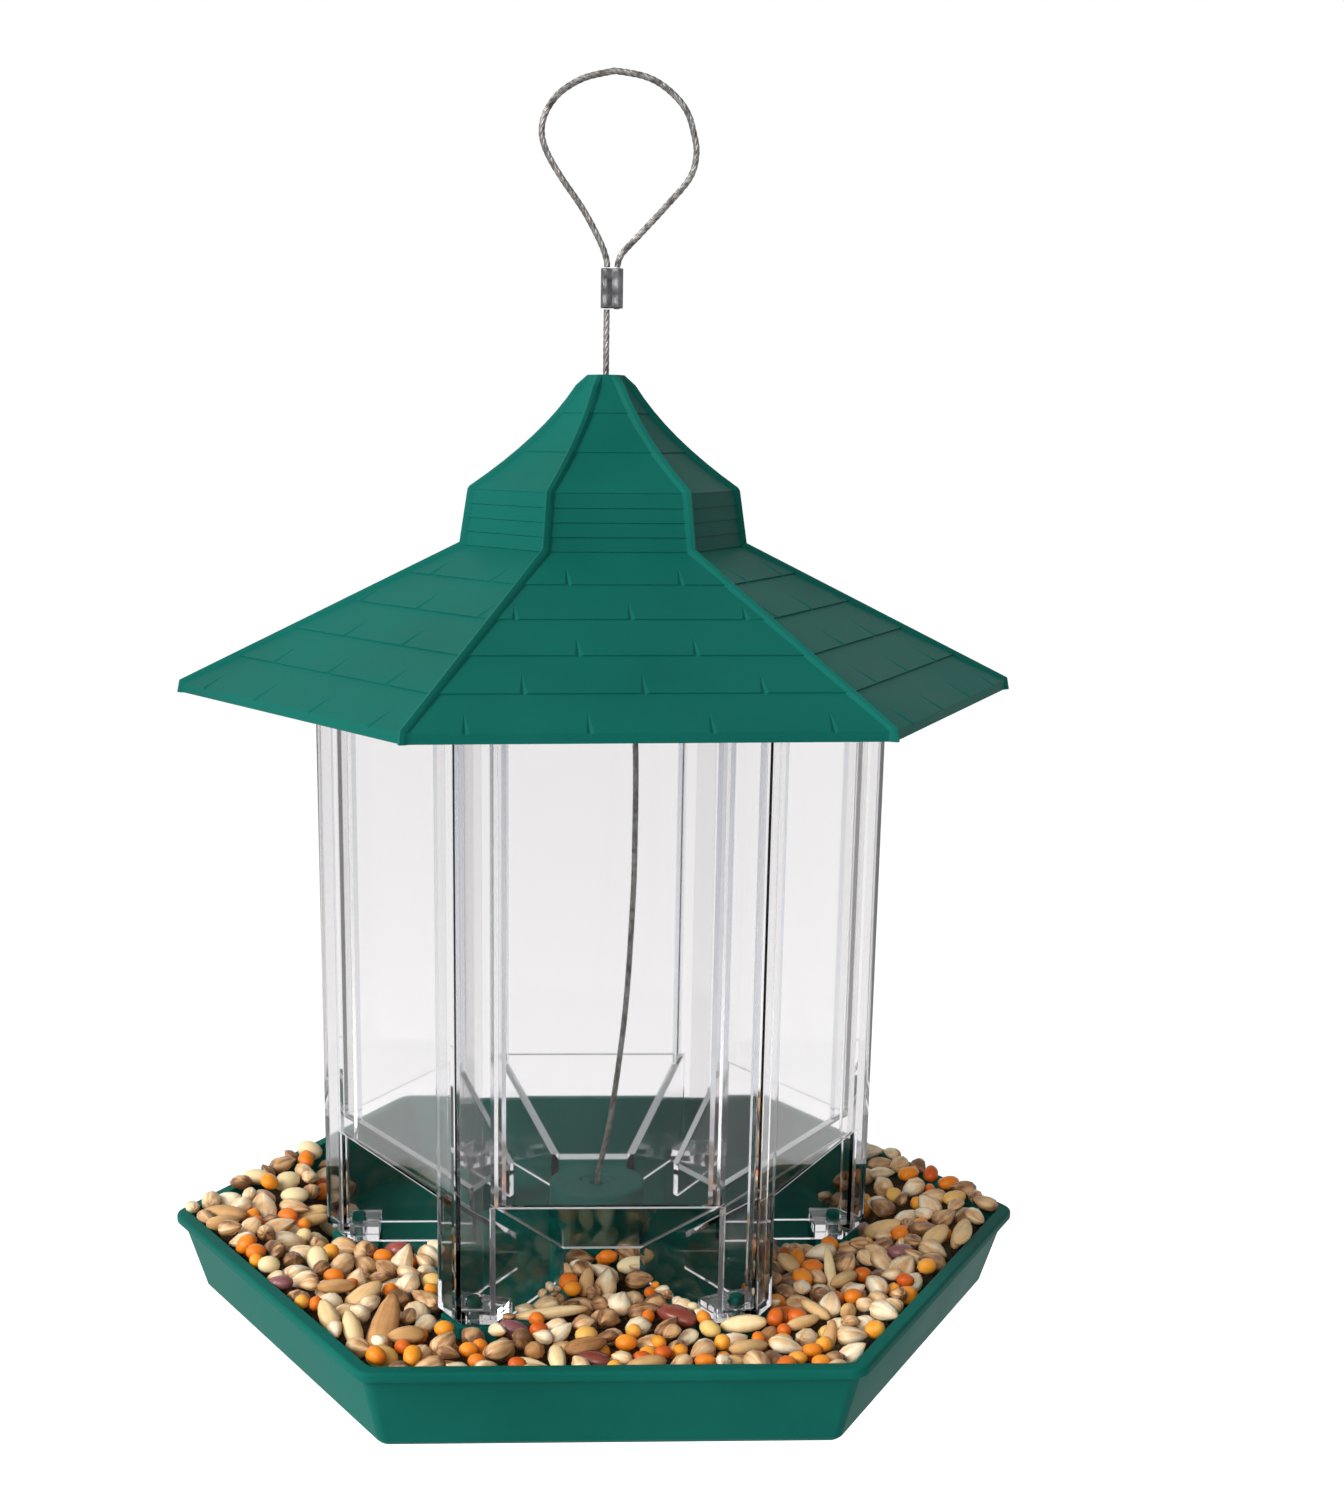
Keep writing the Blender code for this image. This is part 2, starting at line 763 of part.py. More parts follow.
def tube(name, points, finish):
    """A round cord along points, with closed ends."""
    curve = bpy.data.curves.new(name, "CURVE")
    curve.dimensions = "3D"
    curve.bevel_depth = cable_radius
    curve.bevel_resolution = 2
    curve.use_fill_caps = True
    spline = curve.splines.new("POLY")
    spline.points.add(len(points) - 1)
    for place, point in zip(spline.points, points):
        place.co = (*point, 1.0)
    curve.materials.append(finish)
    made = bpy.data.objects.new(name, curve)
    bpy.context.scene.collection.objects.link(made)
    return made


def build_cable(finish):
    """From the stop under the hub, slack through the hopper, straight above the roof."""
    height = z_apex - z_hub
    route = [Vector((0, 0, z_stop + seat_gap)), Vector((0, 0, z_washer))]
    for rise, bow in bow_route_shares:
        route.append(Vector((cable_bow * bow, 0, z_hub + height * rise)))
    middle = (z_apex + z_sleeve_bottom) / 2
    route += [Vector((0, 0, middle)), Vector((0, 0, z_sleeve_bottom - seat_gap))]
    tube("suspension_cable", smooth_route(route, cable_point_diameters * cable_diameter), finish)


def build_loop(finish):
    top = cable_radius
    route = []
    for across, drop in loop_route_shares:
        route.append(Vector((across * loop_width, 0, top - drop * loop_height)))
    route[0].z += seat_gap
    route[-1].z += seat_gap
    tube("hanging_loop", smooth_route(route, loop_point_diameters * cable_diameter), finish)


def build_crimp_sleeve(finish):
    """Two barrels side by side, squeezed round the cable and its tail."""
    radius = cable_radius + sleeve_wall
    outline = []
    for centre, start in ((sleeve_bore_spacing, -math.pi / 2), (0, math.pi / 2)):
        for piece in range(9):
            turn = start + math.pi * piece / 8
            outline.append((centre + radius * math.cos(turn), radius * math.sin(turn)))
    bm = bmesh.new()
    polygon_prism(bm, outline, z_sleeve_bottom, z_sleeve_top)
    new_object("crimp_sleeve", mesh_from(bm, "crimp_sleeve"), finish)


def build_stop(finish):
    """The ferrule crimped on the cable's lower end, and the washer that it holds up."""
    bm = bmesh.new()
    place = Matrix.Translation((0, 0, z_stop - stop_length / 2))
    bmesh.ops.create_cone(bm, cap_ends=True, segments=24, radius1=stop_diameter / 2,
                          radius2=stop_diameter / 2, depth=stop_length, matrix=place)
    new_object("stop_ferrule", mesh_from(bm, "stop_ferrule"), finish)

    bm = bmesh.new()
    inner, outer = washer_bore / 2, washer_diameter / 2
    low = z_washer - washer_thickness
    profile = ((inner, low), (inner, z_washer), (outer, z_washer), (outer, low))
    closed_loft(bm, [hub_ring(radius, height) for radius, height in profile])
    new_object("stop_washer", mesh_from(bm, "stop_washer"), finish)


def main():
    clear_scene()
    green = material("green_plastic", (0.012, 0.135, 0.108), 0.38)
    clear = material("clear_plastic", (0.92, 0.95, 0.96), 0.05, transmission=0.95)
    steel = material("steel_cable", (0.36, 0.33, 0.31), 0.42, metallic=0.9)
    alloy = material("alloy_sleeve", (0.62, 0.62, 0.63), 0.45, metallic=0.9)
    build_roof(green)
    build_panels(clear)
    build_tray(green)
    build_cable(steel)
    build_loop(steel)
    build_crimp_sleeve(alloy)
    build_stop(alloy)


main()
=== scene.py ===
import math
import random

import bmesh
import bpy
import numpy
from mathutils import Matrix, Vector
from mathutils.bvhtree import BVHTree


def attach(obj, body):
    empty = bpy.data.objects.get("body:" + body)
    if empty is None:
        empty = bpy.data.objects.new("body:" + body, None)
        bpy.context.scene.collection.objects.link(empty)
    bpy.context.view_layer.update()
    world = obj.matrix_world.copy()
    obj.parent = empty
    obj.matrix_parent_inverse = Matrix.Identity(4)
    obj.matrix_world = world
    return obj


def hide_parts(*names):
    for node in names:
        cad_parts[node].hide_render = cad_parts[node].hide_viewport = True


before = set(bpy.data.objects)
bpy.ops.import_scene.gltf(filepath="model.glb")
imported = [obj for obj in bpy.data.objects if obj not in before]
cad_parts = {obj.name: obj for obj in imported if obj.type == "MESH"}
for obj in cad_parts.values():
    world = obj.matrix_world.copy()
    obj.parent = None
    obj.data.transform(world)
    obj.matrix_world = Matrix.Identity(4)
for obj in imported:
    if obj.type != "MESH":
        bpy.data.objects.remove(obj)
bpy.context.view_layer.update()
scene = bpy.context.scene
scene.view_settings.view_transform = "Standard"

# The camera stands half a metre in front, level with the roof, and looks a little down.
# Its frame is shifted up and to the right, as the photograph was cropped.
camera_place = Vector((-0.0208, -0.5067, -0.0808))
camera_heading = math.radians(-2.38)
camera_pitch = math.radians(-13.754)
camera_roll = math.radians(0.617)
focal_share = 2045.8 / 1500

camera_data = bpy.data.cameras.new("camera")
camera_data.sensor_width = 36
camera_data.lens = camera_data.sensor_width * focal_share
camera_data.shift_x = 0.0473
camera_data.shift_y = 0.1227
camera_data.clip_start = 0.01
camera = bpy.data.objects.new("camera", camera_data)
heading = Matrix.Rotation(camera_heading, 4, "Z")
pitch = Matrix.Rotation(math.pi / 2 + camera_pitch, 4, "X")
roll = Matrix.Rotation(camera_roll, 4, "Z")
camera.matrix_world = Matrix.Translation(camera_place) @ heading @ pitch @ roll
scene.collection.objects.link(camera)
scene.camera = camera

# Galvanised steel cable, 1.5 mm thick: six strands laid round a core, slack in the hopper.
# It starts in the stop under the hub and ends in the crimp sleeve above the roof.
cable_radius = 0.00075
cable_bow = 0.0085
strand_count = 6
strand_share = 0.36
strand_facet = math.radians(38)
strand_lay = 0.0094
points_per_lay = 18
z_stop, z_washer, z_hub = -0.27527, -0.27377, -0.27107
z_apex, z_sleeve_bottom, z_sleeve_top = -0.06725, -0.05195, -0.04295
seat_gap = 0.0003
bow_shares = [
    (0.000, 0.00), (0.015, 0.03), (0.042, 0.19), (0.107, 0.46), (0.229, 0.79), (0.360, 0.96),
    (0.440, 1.00), (0.560, 0.98), (0.700, 0.78), (0.840, 0.41), (0.940, 0.08), (0.985, 0.00),
    (1.000, 0.00),
]
steel_light = (0.235, 0.222, 0.21, 1)
steel_dark = (0.062, 0.056, 0.052, 1)


def wired(tree, kind, inputs=None, **settings):
    """Adds a shader node with its settings, its input values and its links."""
    node = tree.nodes.new("ShaderNode" + kind)
    for name, value in settings.items():
        setattr(node, name, value)
    for socket, value in (inputs or {}).items():
        if isinstance(value, bpy.types.NodeSocket):
            tree.links.new(value, node.inputs[socket])
        else:
            node.inputs[socket].default_value = value
    return node


def finish_of(name, inputs):
    """A new material whose shader has these plain values."""
    made = bpy.data.materials.new(name)
    made.use_nodes = True
    shader = made.node_tree.nodes["Principled BSDF"]
    for socket, value in inputs.items():
        shader.inputs[socket].default_value = value
    return made, made.node_tree, shader


def ramp(tree, factor, *stops):
    """A colour ramp with these places and colours."""
    node = wired(tree, "ValToRGB", {"Fac": factor})
    points = node.color_ramp.elements
    while len(points) < len(stops):
        points.new(0.5)
    for point, (place, colour) in zip(points, stops):
        point.position = place
        point.color = colour
    return node


def along_route(points, spacing, pieces=20):
    """Even points on a smooth curve through the route's own points."""
    dense = []
    last = len(points) - 1
    for i in range(last):
        before, here = points[max(i - 1, 0)], points[i]
        ahead, beyond = points[i + 1], points[min(i + 2, last)]
        for piece in range(pieces):
            t = piece / pieces
            dense.append(0.5 * (2 * here + (ahead - before) * t
                                + (2 * before - 5 * here + 4 * ahead - beyond) * t * t
                                + (3 * here - before - 3 * ahead + beyond) * t * t * t))
    dense.append(points[last])
    lengths = [0.0]
    for a, b in zip(dense, dense[1:]):
        lengths.append(lengths[-1] + (b - a).length)
    count = max(2, round(lengths[-1] / spacing))
    even, k = [], 0
    for step in range(count + 1):
        want = lengths[-1] * step / count
        while k < len(dense) - 2 and lengths[k + 1] < want:
            k += 1
        share = (want - lengths[k]) / (lengths[k + 1] - lengths[k])
        even.append(dense[k].lerp(dense[k + 1], share))
    return even, lengths[-1]


def strand_outline():
    """The cable's cross-section: six round strands that touch."""
    curve = bpy.data.curves.new("strand_outline", "CURVE")
    curve.dimensions = "2D"
    spline = curve.splines.new("POLY")
    spline.use_cyclic_u = True
    strand = cable_radius * strand_share
    middle = cable_radius - strand
    places = []
    for number in range(strand_count):
        angle = 2 * math.pi * number / strand_count
        for piece in range(-2, 3):
            out = angle + piece * strand_facet
            places.append((middle * math.cos(angle) + strand * math.cos(out),
                           middle * math.sin(angle) + strand * math.sin(out), 0, 1))
    spline.points.add(len(places) - 1)
    for point, place in zip(spline.points, places):
        point.co = place
    outline = bpy.data.objects.new("strand_outline", curve)
    outline.hide_render = True
    scene.collection.objects.link(outline)
    return outline


cable_outline = strand_outline()


def laid_cable(name, route):
    """A curve of twisted strands along a route, and its length."""
    points, length = along_route(route, strand_lay / points_per_lay)
    curve = bpy.data.curves.new(name, "CURVE")
    curve.dimensions = "3D"
    curve.twist_mode = "MINIMUM"
    curve.bevel_mode = "OBJECT"
    curve.bevel_object = cable_outline
    curve.use_fill_caps = True
    spline = curve.splines.new("POLY")
    spline.points.add(len(points) - 1)
    step = length / (len(points) - 1)
    for number, (place, point) in enumerate(zip(spline.points, points)):
        place.co = (*point, 1)
        place.tilt = 2 * math.pi * number * step / strand_lay
    cable = bpy.data.objects.new(name, curve)
    scene.collection.objects.link(cable)
    return cable, length


def new_group(name, given, results):
    """An empty shader node group with these named inputs and outputs."""
    group = bpy.data.node_groups.new(name, "ShaderNodeTree")
    for socket in given:
        group.interface.new_socket(name=socket, in_out="INPUT", socket_type="NodeSocketFloat")
    for socket, kind in results:
        group.interface.new_socket(name=socket, in_out="OUTPUT", socket_type=kind)
    inner = group.nodes.new("NodeGroupInput").outputs
    outer = group.nodes.new("NodeGroupOutput").inputs
    return group, inner, outer


def surface_grain():
    """Slow patches of tone, a gloss that follows them, and a fine relief that may be drawn out."""
    tree, given, results = new_group(
        "surface_grain",
        ("Patches", "Grain", "Squeeze", "Relief", "Depth", "Rough Low", "Rough High"),
        (("Patch", "NodeSocketFloat"), ("Roughness", "NodeSocketFloat"),
         ("Normal", "NodeSocketVector")))
    place = wired(tree, "TexCoord").outputs["Object"]
    patches = wired(tree, "TexNoise", {"Vector": place, "Scale": given["Patches"], "Detail": 4})
    factors = wired(tree, "CombineXYZ", {"X": 1, "Y": 1, "Z": given["Squeeze"]})
    drawn = wired(tree, "VectorMath", {0: place, 1: factors.outputs[0]}, operation="MULTIPLY")
    grain = wired(tree, "TexNoise", {"Vector": drawn.outputs[0], "Scale": given["Grain"],
                                     "Detail": 3})
    bump = wired(tree, "Bump", {"Height": grain.outputs["Fac"], "Strength": given["Relief"],
                                "Distance": given["Depth"]})
    dull = wired(tree, "MapRange", {
        "Value": patches.outputs["Fac"], "From Min": 0.3, "From Max": 0.7,
        "To Min": given["Rough Low"], "To Max": given["Rough High"]})
    tree.links.new(patches.outputs["Fac"], results["Patch"])
    tree.links.new(dull.outputs["Result"], results["Roughness"])
    tree.links.new(bump.outputs["Normal"], results["Normal"])
    return tree


grain_group = surface_grain()


def grained(name, values, surface, *stops):
    """A material whose colour, gloss and relief come from the shared grain."""
    made, tree, shader = finish_of(name, values)
    grain = wired(tree, "Group", {}, node_tree=grain_group)
    for socket, value in surface.items():
        grain.inputs[socket].default_value = value
    tone = ramp(tree, grain.outputs["Patch"], *stops)
    tree.links.new(tone.outputs["Color"], shader.inputs["Base Color"])
    tree.links.new(grain.outputs["Roughness"], shader.inputs["Roughness"])
    tree.links.new(grain.outputs["Normal"], shader.inputs["Normal"])
    return made


steel = grained(
    "cable_steel", {"Metallic": 0.85},
    {"Patches": 700, "Grain": 2600, "Squeeze": 1, "Relief": 0.35, "Depth": 0.00008,
     "Rough Low": 0.56, "Rough High": 0.36},
    (0.32, steel_dark), (0.62, steel_light))
cable_route = [Vector((0, 0, z_stop + seat_gap)), Vector((0, 0, z_washer))]
for rise, bow in bow_shares:
    cable_route.append(Vector((cable_bow * bow, 0, z_hub + (z_apex - z_hub) * rise)))
cable_route.append(Vector((0, 0, (z_apex + z_sleeve_bottom) / 2)))
cable_route.append(Vector((0, 0, z_sleeve_bottom - seat_gap)))
cable, cable_length = laid_cable("cable_strands", cable_route)
cable.data.materials.append(steel)
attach(cable, "suspension")
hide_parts("suspension_cable")

# The same cable bent into the loop that hangs on a branch or hook.
# Both its ends go down into the crimp sleeve.
loop_top, loop_height, loop_width = 0.00058, 0.04353, 0.0362
loop_shares = [
    (0.000, 1.000), (-0.006, 0.950), (-0.046, 0.864), (-0.157, 0.702), (-0.309, 0.529),
    (-0.400, 0.403), (-0.430, 0.302), (-0.400, 0.203), (-0.312, 0.110), (-0.166, 0.038),
    (0.000, 0.004), (0.060, 0.000), (0.229, 0.023), (0.348, 0.068), (0.453, 0.140), (0.514, 0.212),
    (0.549, 0.300), (0.570, 0.405), (0.530, 0.530), (0.380, 0.675), (0.215, 0.820),
    (0.095, 0.925), (0.066, 1.000),
]
loop_route = [Vector((across * loop_width, 0, loop_top - drop * loop_height))
              for across, drop in loop_shares]
loop_route[0].z += seat_gap
loop_route[-1].z += seat_gap
loop, loop_length = laid_cable("loop_strands", loop_route)
loop.data.materials.append(steel)
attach(loop, "suspension")
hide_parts("hanging_loop")

# Aluminium crimp sleeve: an oval tube of two barrels, squeezed flat in two bands
# over the cable and its tail. The tail's cut end shows at the bottom.
sleeve_length = z_sleeve_top - z_sleeve_bottom
sleeve_radius = 0.00145
barrel_spacing = 0.0024
barrel_segments = 32
waist_depth = 0.42
waist_cuts = 7
waist_fall = 1.5
tail_length = 0.0002
tail_taper = 0.9
alloy_light = (0.15, 0.15, 0.155, 1)
alloy_dark = (0.050, 0.050, 0.052, 1)


def link_mesh(bm, name, *finishes):
    """Makes the bmesh an object with smooth faces and these finishes."""
    mesh = bpy.data.meshes.new(name)
    bm.to_mesh(mesh)
    bm.free()
    mesh.shade_smooth()
    for finish in finishes:
        mesh.materials.append(finish)
    made = bpy.data.objects.new(name, mesh)
    scene.collection.objects.link(made)
    return made


bm = bmesh.new()
bmesh.ops.create_circle(bm, segments=barrel_segments, radius=sleeve_radius)
for vert in bm.verts:
    if vert.co.x > 0:
        vert.co.x += barrel_spacing
across = [edge for edge in bm.edges if edge.calc_length() > barrel_spacing]
for vert in bmesh.ops.subdivide_edges(bm, edges=across, cuts=waist_cuts)["geom_inner"]:
    if isinstance(vert, bmesh.types.BMVert):
        away = abs(vert.co.x - barrel_spacing / 2) / (barrel_spacing / 2)
        vert.co.y *= 1 - waist_depth * math.cos(min(away, 1) * math.pi / 2) ** waist_fall
bmesh.ops.contextual_create(bm, geom=bm.edges[:])
ring = bm.edges[:]
sleeve_profile = [
    (0.00, 0.93), (0.04, 1.00), (0.16, 1.00), (0.24, 0.82), (0.36, 0.80), (0.44, 0.97),
    (0.52, 1.00), (0.60, 0.97), (0.68, 0.80), (0.80, 0.82), (0.88, 1.00), (0.97, 1.00),
    (1.00, 0.93),
]
outline = [vert.co.copy() for vert in bm.verts]
for number, (share, pinch) in enumerate(sleeve_profile):
    if number:
        ring = bmesh.ops.extrude_edge_only(bm, edges=ring)["geom"]
        verts = [part for part in ring if isinstance(part, bmesh.types.BMVert)]
        ring = [part for part in ring if isinstance(part, bmesh.types.BMEdge)]
    else:
        verts = bm.verts[:]
    for vert, place in zip(verts, outline):
        vert.co = (place.x, place.y * pinch, z_sleeve_bottom + share * sleeve_length)
bmesh.ops.contextual_create(bm, geom=ring)
bmesh.ops.recalc_face_normals(bm, faces=bm.faces)
sides = bm.faces[:]
bmesh.ops.create_cone(
    bm, cap_ends=True, segments=16, radius1=cable_radius * tail_taper, radius2=cable_radius,
    depth=2 * tail_length, matrix=Matrix.Translation((barrel_spacing, 0, z_sleeve_bottom)))
for face in set(bm.faces) - set(sides):
    face.material_index = 1
dull_aluminium = grained(
    "dull_aluminium", {"Metallic": 0.9},
    {"Patches": 500, "Grain": 1500, "Squeeze": 0.2, "Relief": 0.3, "Depth": 0.0001,
     "Rough Low": 0.32, "Rough High": 0.48},
    (0.3, alloy_dark), (0.7, alloy_light))
sleeve = link_mesh(bm, "sleeve", dull_aluminium, steel)
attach(sleeve, "suspension")
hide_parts("crimp_sleeve")

# The stop crimped on the cable's lower end, and the steel washer that it holds up.
# Both sit in the hollow under the hub.
fitting_rounding = 0.0002
weld_distance = 0.000003
flat_angle = math.radians(0.4)
edge_angle = math.radians(25)
crease_angle = math.radians(40)


def softened(node, name, width, flat=False):
    """A copy of a solid's mesh, welded, with its sharp edges rounded by this width."""
    bm = bmesh.new()
    bm.from_mesh(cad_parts[node].data)
    bmesh.ops.remove_doubles(bm, verts=bm.verts, dist=weld_distance)
    bmesh.ops.dissolve_limit(bm, angle_limit=flat_angle, verts=bm.verts, edges=bm.edges)
    sharp = [edge for edge in bm.edges
             if edge.is_manifold and edge.calc_face_angle() > edge_angle
             and (edge.is_convex or not flat)]
    bmesh.ops.bevel(bm, geom=sharp, offset=width, offset_type="OFFSET", affect="EDGES",
                    segments=2, profile=0.5, clamp_overlap=True, material=-1)
    made = link_mesh(bm, name)
    if flat:
        made.data.shade_flat()
        return made
    made.data.set_sharp_from_angle(angle=crease_angle)
    weighted = made.modifiers.new("weighted_normals", "WEIGHTED_NORMAL")
    weighted.keep_sharp = True
    weighted.weight = 100
    return made


for node, name in (("stop_ferrule", "ferrule"), ("stop_washer", "washer")):
    piece = softened(node, name, fitting_rounding)
    piece.data.materials.append(dull_aluminium)
    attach(piece, "suspension")
    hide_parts(node)

# The roof: one injection moulding in green plastic, dyed through and faintly grained by its mould.
# Its shingle courses, ridges and cupola are all in the moulding; it hangs loose on the cable.
moulded_rounding = 0.0003
green_light = (0.0065, 0.122, 0.097, 1)
green_dark = (0.0040, 0.096, 0.075, 1)
green = grained(
    "green_plastic_skin", {"Specular IOR Level": 0.02},
    {"Patches": 22, "Grain": 1400, "Squeeze": 1, "Relief": 0.12, "Depth": 0.0003,
     "Rough Low": 0.42, "Rough High": 0.55},
    (0.3, green_dark), (0.7, green_light))
roof = softened("roof", "pagoda_roof", moulded_rounding)
roof.data.materials.append(green)
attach(roof, "roof")
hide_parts("roof")

# The tray: a second moulding in the same green plastic, a wide six-sided dish with a rolled lip.
# The cable comes up through its hub, and the hopper's feet snap onto its six seats.
tray = softened("tray", "seed_tray", moulded_rounding)
tray.data.materials.append(green)
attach(tray, "feeder")
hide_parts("tray")

# The hopper: six alike panels moulded in clear polystyrene, which lap at the corner posts and clip
# together. Ribs stiffen the posts, and the baffles between the fins make the seed's funnel.
edge_width = 0.0018
upright_rise = 0.95
panel_rounding = 0.0002
light_bounces = 24
refraction = 1.5
front_gleam, gleam_rise = 0.3, 0.5
wall_tint = (0.885, 0.876, 0.88, 1)
side_tint = (0.90, 0.93, 1.0, 1)
edge_tint = (0.95, 0.98, 1.0, 1)
depth_tint = (0.84, 0.86, 0.88, 1)
depth_density = 0.4


def clear_plastic(name, roughness, clearness, tint):
    """Clear polystyrene with this polish, which greys a little where it is thick."""
    made, tree, shader = finish_of(name, {
        "Base Color": tint, "Roughness": roughness, "IOR": refraction,
        "Transmission Weight": clearness,
    })
    absorb = wired(tree, "VolumeAbsorption", {"Color": depth_tint, "Density": depth_density})
    tree.links.new(absorb.outputs["Volume"], tree.nodes["Material Output"].inputs["Volume"])
    return made, tree, shader


def polish_of(face):
    """The finish slot of a face: 0 for a wall, 1 for its upright edges, 2 for its other edges."""
    longest = max(face.edges, key=lambda edge: edge.calc_length())
    if face.calc_area() > edge_width * longest.calc_length():
        return 0
    rise = abs(longest.verts[0].co.z - longest.verts[1].co.z)
    return 1 if rise > upright_rise * longest.calc_length() else 2


scene.cycles.max_bounces = light_bounces
scene.cycles.transmission_bounces = light_bounces
scene.cycles.transparent_max_bounces = light_bounces
polished, tree, shader = clear_plastic(
    "clear_polystyrene", roughness=0.03, clearness=1.0, tint=wall_tint)
upright, _, _ = clear_plastic(
    "clear_polystyrene_sides", roughness=0.08, clearness=0.88, tint=side_tint)
unpolished, _, _ = clear_plastic(
    "clear_polystyrene_edges", roughness=0.3, clearness=0.35, tint=edge_tint)
# The walls mirror little where they are looked at straight, and fully where they are grazed.
gleam = wired(tree, "Fresnel", {"IOR": refraction})
shine = wired(tree, "MapRange", {"Value": gleam.outputs[0], "From Min": gleam_rise,
                                 "To Min": front_gleam})
tree.links.new(shine.outputs["Result"], shader.inputs["Specular Tint"])
for number in range(1, 7):
    panel = softened(f"clear_panel_{number}", f"hopper_panel_{number}", panel_rounding, flat=True)
    for finish in (polished, upright, unpolished):
        panel.data.materials.append(finish)
    bm = bmesh.new()
    bm.from_mesh(panel.data)
    for face in bm.faces:
        face.material_index = polish_of(face)
    bm.to_mesh(panel.data)
    bm.free()
    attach(panel, "feeder")
    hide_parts(f"clear_panel_{number}")

# The seed: husked kernels, millet, peas, oats and beans, poured loose round the hopper and in
# through its three front ports, heaped up to the rim. It lies on a packed bed of dust and bits,
# whose dark brown is partly the dust's own colour and partly painted shade in the gaps between
# the seeds. The back of the tray is eaten empty.
cell = 0.0005
seed_span_x, seed_span_y = 0.118, 0.102
cos_30 = 0.8660
ray_start, seat_level = -0.2768, -0.2852
hub_clear = 0.0142
wall_apothem, wall_reach, brim_apothem = 0.0948, 0.080, 0.0925

# How high the heap lies at the rim, at the feet and in the ports, and where it rises between them.
rim_level, foot_level, port_level = -0.2774, -0.2826, -0.2834
foot_ramp, rim_ramp = (0.050, 0.064), (0.066, 0.090)
front_drop, front_ramp = 0.0038, (0, 0.080)

# Where the bank round the hopper and the tongues through its ports end, and how steeply.
hopper_edge = 0.0610
bank_back, bank_side, bank_flare, bank_flare_start = 0.0125, 0.0770, 0.09, 0.015
front_port_middle, front_port_back = 0.001, 0.0165
front_port_half, front_port_flare, flare_start = 0.0085, 0.55, 0.032
side_port_inner, side_port_outer, side_port_back = 0.042, 0.060, 0.0135
heap_slope, port_slope = 1.4, 4.2

# How thick, how deep and how evenly the single seeds lie, and the bed under them.
seed_thickest, seed_flatness = 5.2, 0.85
seed_depth, seed_room = 1.6, 1.2
size_spread = (0.86, 1.14)
lean_spread, roll_spread = 0.35, 0.5
husk_unevenness, seed_unevenness = 0.07, 0.02
near_reach, seat_reach = 10, 0.003
look_again = 5  # seeds dropped between two looks for room
bed_depth, bed_gap, bed_least = 0.0052, 0.0002, 0.001
bed_roughness = (-0.0008, 0.0006)
bed_cell, bed_cells_x, bed_cells_y = 0.0025, 44, 38
# The bed's colours: the brown of seed dust, made darker as painted shade for the gaps between the
# seeds.
dust_and_shade_light = (0.090, 0.050, 0.024, 1)
dust_and_shade_dark = (0.022, 0.012, 0.006, 1)
seed_random = random.Random(11)

